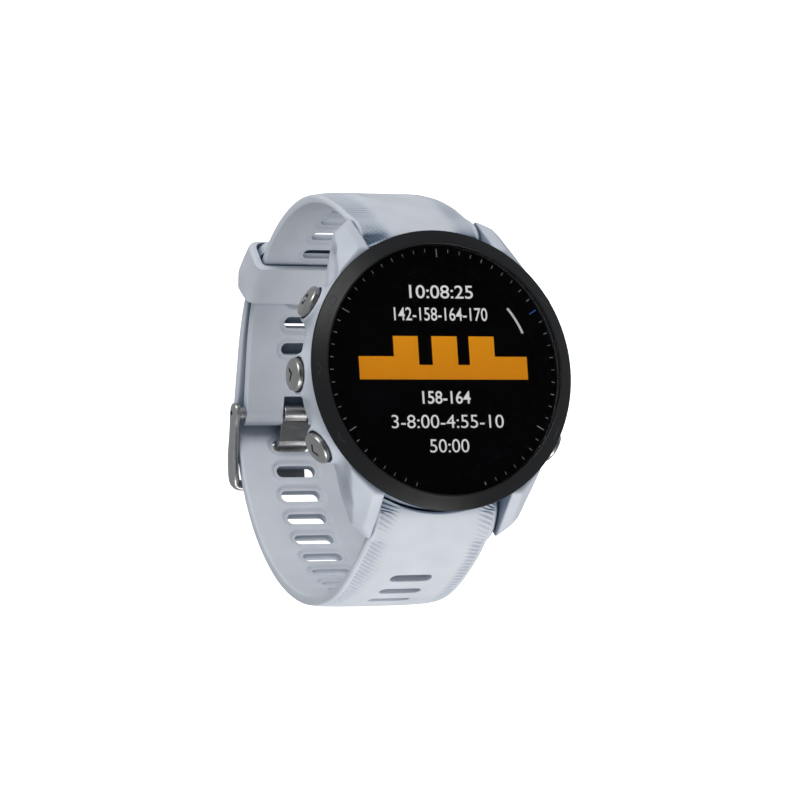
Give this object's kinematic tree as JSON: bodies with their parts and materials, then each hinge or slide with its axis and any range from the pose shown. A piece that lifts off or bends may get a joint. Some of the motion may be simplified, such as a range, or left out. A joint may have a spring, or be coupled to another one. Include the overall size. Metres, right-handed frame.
{
  "type": "gps running watch",
  "caption": "Round running watch with press buttons on its case, worn on a slotted silicone strap with a pin buckle and a sliding keeper.",
  "frame": {"origin": "middle of the flat sensor window on the case back, the face that rests on the wrist", "axes": "+Z out of the dial, +Y towards 12 o'clock, +X towards 3 o'clock; the wrist runs along X"},
  "size_m": [0.0483, 0.0703, 0.0715],
  "materials": {
    "case_polymer": "fibre-reinforced polymer, fine satin grain, pale stone white",
    "back_polymer": "black polymer, fine matte grain",
    "bezel_steel": "stainless steel with a dark satin coating, engraved marks",
    "lens_glass": "strengthened glass, polished, black printed on its underside outside the display",
    "seal": "black elastomer",
    "dial_black": "deep black ring with printed minute marks",
    "display_black": "reflective display, black ground with light digits and an amber chart",
    "bracket_metal": "cast light alloy plate",
    "antenna_copper": "copper-plated ring",
    "circuit_board": "green solder resist",
    "tin_shield": "tin-plated pressed sheet",
    "switch_metal": "small pressed-metal switch bodies",
    "cell_foil": "foil pouch",
    "flex_film": "amber polyimide film",
    "buzzer_black": "black polymer",
    "screw_steel": "stainless steel",
    "sensor_glass": "smoked clear window",
    "led_clear": "clear light sources",
    "photodiode_black": "dark light detectors",
    "port_black": "black polymer socket",
    "contact_gold": "gold-plated contacts",
    "strap_silicone": "matte silicone, pale stone white",
    "buckle_steel": "brushed stainless steel",
    "button_steel": "brushed stainless steel, domed caps",
    "bar_steel": "stainless steel",
    "spring_steel": "spring steel"
  },
  "bodies": {
    "case": {"case_shell": "case_polymer", "bezel": "bezel_steel", "lens_gasket": "seal", "lens": "lens_glass", "dial_ring": "dial_black", "display_panel": "display_black", "display_bracket": "bracket_metal", "antenna_ring": "antenna_copper", "main_board": "circuit_board", "shield_cans": "tin_shield", "side_switches": "switch_metal", "battery": "cell_foil", "battery_flex": "flex_film", "vibration_motor": "tin_shield", "buzzer": "buzzer_black", "back_cover": "back_polymer", "back_gasket": "seal", "back_screws": "screw_steel", "sensor_window": "sensor_glass", "sensor_board": "circuit_board", "sensor_leds": "led_clear", "sensor_photodiodes": "photodiode_black", "charge_port": "port_black", "charge_pins": "contact_gold", "lower_bar": "bar_steel", "lower_bar_spring": "spring_steel"},
    "band": {"upper_strap": "strap_silicone", "lower_strap": "strap_silicone", "buckle_pin": "buckle_steel", "upper_bar": "bar_steel", "upper_bar_spring": "spring_steel"},
    "keeper": {"keeper": "strap_silicone"},
    "buckle": {"buckle_frame": "buckle_steel"},
    "tongue": {"tongue": "buckle_steel"},
    "upper_release": {"upper_release": "bar_steel"},
    "lower_release": {"lower_release": "bar_steel"},
    "button_1": {"button_1": "button_steel", "button_seal_1": "seal", "button_clip_1": "spring_steel"},
    "button_2": {"button_2": "button_steel", "button_seal_2": "seal", "button_clip_2": "spring_steel"},
    "button_3": {"button_3": "button_steel", "button_seal_3": "seal", "button_clip_3": "spring_steel"},
    "button_4": {"button_4": "button_steel", "button_seal_4": "seal", "button_clip_4": "spring_steel"},
    "button_5": {"button_5": "button_steel", "button_seal_5": "seal", "button_clip_5": "spring_steel"}
  },
  "joints": [
    {"name": "band_sway", "type": "hinge", "parent": "case", "child": "band", "pos_m": [0, 0.0247, 0.0044], "axis": [1, 0, 0], "range_deg": [-5, 5], "stiffness_Nm_per_rad": 0.3, "deforming": ["lower_strap"]},
    {"name": "keeper_slide", "type": "hinge", "parent": "band", "child": "keeper", "pos_m": [0, 0.00057, -0.01715], "axis": [1, 0, 0], "range_deg": [-4, 3]},
    {"name": "buckle_swing", "type": "hinge", "parent": "band", "child": "buckle", "pos_m": [0, 0.00289, -0.05211], "axis": [1, 0, 0], "range_deg": [-1.5, 4]},
    {"name": "tongue_swing", "type": "hinge", "parent": "band", "child": "tongue", "pos_m": [0, 0.00289, -0.05211], "axis": [1, 0, 0], "range_deg": [-1.5, 4]},
    {"name": "upper_release_slide", "type": "slide", "parent": "band", "child": "upper_release", "axis": [-1, 0, 0], "range_m": [0, 0.0016], "stiffness_N_per_m": 400, "springref_m": -0.003, "deforming": ["upper_bar_spring"]},
    {"name": "lower_release_slide", "type": "slide", "parent": "case", "child": "lower_release", "axis": [-1, 0, 0], "range_m": [0, 0.0016], "stiffness_N_per_m": 400, "springref_m": -0.003, "deforming": ["lower_bar_spring"]},
    {"name": "button_1_press", "type": "slide", "parent": "case", "child": "button_1", "axis": [0.866, -0.5, 0], "range_m": [0, 0.0007], "stiffness_N_per_m": 900, "springref_m": -0.002},
    {"name": "button_2_press", "type": "slide", "parent": "case", "child": "button_2", "axis": [1, 0, 0], "range_m": [0, 0.0007], "stiffness_N_per_m": 900, "springref_m": -0.002},
    {"name": "button_3_press", "type": "slide", "parent": "case", "child": "button_3", "axis": [0.866, 0.5, 0], "range_m": [0, 0.0007], "stiffness_N_per_m": 900, "springref_m": -0.002},
    {"name": "button_4_press", "type": "slide", "parent": "case", "child": "button_4", "axis": [-0.866, -0.5, 0], "range_m": [0, 0.0007], "stiffness_N_per_m": 900, "springref_m": -0.002},
    {"name": "button_5_press", "type": "slide", "parent": "case", "child": "button_5", "axis": [-0.866, 0.5, 0], "range_m": [0, 0.0007], "stiffness_N_per_m": 900, "springref_m": -0.002}
  ],
  "couplings": [
    {"joint": "tongue_swing", "follows": "buckle_swing", "ratio": 1}
  ]
}
